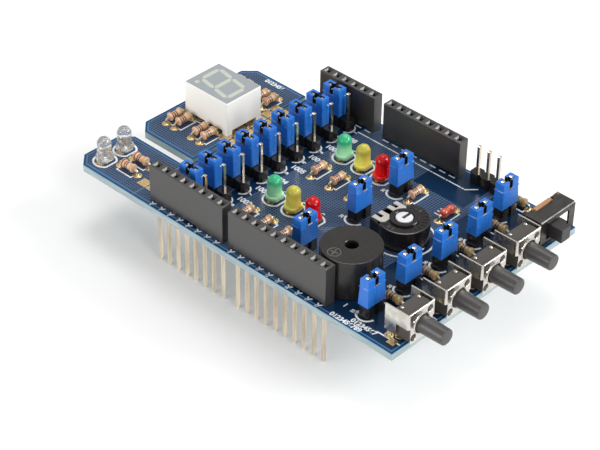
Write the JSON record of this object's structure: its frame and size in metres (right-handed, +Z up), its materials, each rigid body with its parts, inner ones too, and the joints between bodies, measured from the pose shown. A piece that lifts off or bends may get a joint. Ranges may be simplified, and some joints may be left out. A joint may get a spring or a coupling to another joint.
{
  "type": "microcontroller expansion board",
  "caption": "Forked printed circuit board on long-pinned socket strips, with a digit display, lamps, buzzer, trimmer, slide switch, side push buttons and pull-off jumper shunts",
  "frame": {"origin": "on the surface that the pin tips stand on, under the centre of the whole outline in plan, plungers included", "axes": "X along the socket rows, towards the push buttons; Y from the row with the eight-way and ten-way strips to the other row; Z up"},
  "size_m": [0.0924, 0.0534, 0.0234],
  "materials": {
    "circuit_board": "navy-blue solder mask on glass epoxy, with white print and gold pads",
    "header_black": "satin moulded black nylon with gold-plated square pins",
    "moulded_black": "fine-grained moulded black plastic",
    "shunt_blue": "smooth bright blue moulded plastic",
    "display_shell": "white moulded plastic, its face printed blue-grey",
    "display_resin": "cloudy cream casting resin",
    "lamp_green": "diffused green epoxy",
    "lamp_yellow": "diffused yellow epoxy",
    "lamp_red": "diffused red epoxy",
    "lamp_clear": "water-clear epoxy",
    "rotor_white": "white moulded plastic",
    "tinned_steel": "bright tinned sheet steel",
    "dark_steel": "satin nickelled sheet steel, dull and dark",
    "phenolic": "tan phenolic paper board",
    "gold_contact": "gold-plated contacts and pads",
    "resistor_body": "tan lacquered ceramic with painted bands",
    "diode_glass": "orange-red glass bead over the die"
  },
  "bodies": {
    "board": {"circuit_board": "circuit_board", "display_shell": "display_shell", "display_resin": "display_resin", "buzzer": "moulded_black", "trimmer_body": "moulded_black", "free_header": "header_black", "switch_frame": "dark_steel", "switch_strip": "phenolic", "row_header_1": "header_black", "row_header_2": "header_black", "row_header_3": "header_black", "row_header_4": "header_black", "row_header_5": "header_black", "row_header_6": "header_black", "row_header_7": "header_black", "row_header_8": "header_black", "row_header_9": "header_black", "socket_header_near_8": "header_black", "socket_header_near_10": "header_black", "socket_header_far_6": "header_black", "socket_header_far_8": "header_black", "lamp_front_green": "lamp_green", "lamp_front_yellow": "lamp_yellow", "lamp_front_red": "lamp_red", "lamp_back_green": "lamp_green", "lamp_back_yellow": "lamp_yellow", "lamp_back_red": "lamp_red", "lamp_clear_1": "lamp_clear", "lamp_clear_2": "lamp_clear", "button_bracket_1": "tinned_steel", "button_housing_1": "moulded_black", "button_bracket_2": "tinned_steel", "button_housing_2": "moulded_black", "button_bracket_3": "tinned_steel", "button_housing_3": "moulded_black", "button_bracket_4": "tinned_steel", "button_housing_4": "moulded_black"},
    "row_shunt_1": {"row_shunt_1": "shunt_blue"},
    "row_shunt_2": {"row_shunt_2": "shunt_blue"},
    "row_shunt_3": {"row_shunt_3": "shunt_blue"},
    "row_shunt_4": {"row_shunt_4": "shunt_blue"},
    "row_shunt_5": {"row_shunt_5": "shunt_blue"},
    "row_shunt_6": {"row_shunt_6": "shunt_blue"},
    "row_shunt_7": {"row_shunt_7": "shunt_blue"},
    "row_shunt_8": {"row_shunt_8": "shunt_blue"},
    "row_shunt_9": {"row_shunt_9": "shunt_blue"},
    "mid_shunt_1": {"mid_shunt_1": "shunt_blue"},
    "mid_shunt_2": {"mid_shunt_2": "shunt_blue"},
    "mid_shunt_3": {"mid_shunt_3": "shunt_blue"},
    "side_shunt_1": {"side_shunt_1": "shunt_blue"},
    "side_shunt_2": {"side_shunt_2": "shunt_blue"},
    "side_shunt_3": {"side_shunt_3": "shunt_blue"},
    "side_shunt_4": {"side_shunt_4": "shunt_blue"},
    "side_shunt_5": {"side_shunt_5": "shunt_blue"},
    "button_plunger_1": {"button_plunger_1": "moulded_black"},
    "button_plunger_2": {"button_plunger_2": "moulded_black"},
    "button_plunger_3": {"button_plunger_3": "moulded_black"},
    "button_plunger_4": {"button_plunger_4": "moulded_black"},
    "switch_knob": {"switch_knob": "moulded_black"},
    "trimmer_rotor": {"trimmer_rotor": "rotor_white"}
  },
  "joints": [
    {"name": "row_shunt_1_lift", "type": "slide", "parent": "board", "child": "row_shunt_1", "axis": [0, 0, 1], "range_m": [0, 0.0055]},
    {"name": "row_shunt_2_lift", "type": "slide", "parent": "board", "child": "row_shunt_2", "axis": [0, 0, 1], "range_m": [0, 0.0055]},
    {"name": "row_shunt_3_lift", "type": "slide", "parent": "board", "child": "row_shunt_3", "axis": [0, 0, 1], "range_m": [0, 0.0055]},
    {"name": "row_shunt_4_lift", "type": "slide", "parent": "board", "child": "row_shunt_4", "axis": [0, 0, 1], "range_m": [0, 0.0055]},
    {"name": "row_shunt_5_lift", "type": "slide", "parent": "board", "child": "row_shunt_5", "axis": [0, 0, 1], "range_m": [0, 0.0055]},
    {"name": "row_shunt_6_lift", "type": "slide", "parent": "board", "child": "row_shunt_6", "axis": [0, 0, 1], "range_m": [0, 0.0055]},
    {"name": "row_shunt_7_lift", "type": "slide", "parent": "board", "child": "row_shunt_7", "axis": [0, 0, 1], "range_m": [0, 0.0055]},
    {"name": "row_shunt_8_lift", "type": "slide", "parent": "board", "child": "row_shunt_8", "axis": [0, 0, 1], "range_m": [0, 0.0055]},
    {"name": "row_shunt_9_lift", "type": "slide", "parent": "board", "child": "row_shunt_9", "axis": [0, 0, 1], "range_m": [0, 0.0055]},
    {"name": "mid_shunt_1_lift", "type": "slide", "parent": "board", "child": "mid_shunt_1", "axis": [0, 0, 1], "range_m": [0, 0.0055]},
    {"name": "mid_shunt_2_lift", "type": "slide", "parent": "board", "child": "mid_shunt_2", "axis": [0, 0, 1], "range_m": [0, 0.0055]},
    {"name": "mid_shunt_3_lift", "type": "slide", "parent": "board", "child": "mid_shunt_3", "axis": [0, 0, 1], "range_m": [0, 0.0055]},
    {"name": "side_shunt_1_lift", "type": "slide", "parent": "board", "child": "side_shunt_1", "axis": [0, 0, 1], "range_m": [0, 0.0055]},
    {"name": "side_shunt_2_lift", "type": "slide", "parent": "board", "child": "side_shunt_2", "axis": [0, 0, 1], "range_m": [0, 0.0055]},
    {"name": "side_shunt_3_lift", "type": "slide", "parent": "board", "child": "side_shunt_3", "axis": [0, 0, 1], "range_m": [0, 0.0055]},
    {"name": "side_shunt_4_lift", "type": "slide", "parent": "board", "child": "side_shunt_4", "axis": [0, 0, 1], "range_m": [0, 0.0055]},
    {"name": "side_shunt_5_lift", "type": "slide", "parent": "board", "child": "side_shunt_5", "axis": [0, 0, 1], "range_m": [0, 0.0055]},
    {"name": "button_1_press", "type": "slide", "parent": "board", "child": "button_plunger_1", "axis": [-1, 0, 0], "range_m": [0, 0.00025], "stiffness_N_per_m": 2000, "springref_m": -0.0001},
    {"name": "button_2_press", "type": "slide", "parent": "board", "child": "button_plunger_2", "axis": [-1, 0, 0], "range_m": [0, 0.00025], "stiffness_N_per_m": 2000, "springref_m": -0.0001},
    {"name": "button_3_press", "type": "slide", "parent": "board", "child": "button_plunger_3", "axis": [-1, 0, 0], "range_m": [0, 0.00025], "stiffness_N_per_m": 2000, "springref_m": -0.0001},
    {"name": "button_4_press", "type": "slide", "parent": "board", "child": "button_plunger_4", "axis": [-1, 0, 0], "range_m": [0, 0.00025], "stiffness_N_per_m": 2000, "springref_m": -0.0001},
    {"name": "switch_slide", "type": "slide", "parent": "board", "child": "switch_knob", "axis": [0, 1, 0], "range_m": [0, 0.0022]},
    {"name": "trimmer_turn", "type": "hinge", "parent": "board", "child": "trimmer_rotor", "pos_m": [0.01816, 0.00057, 0.0195], "axis": [0, 0, 1], "range_deg": [-117.5, 117.5]}
  ]
}
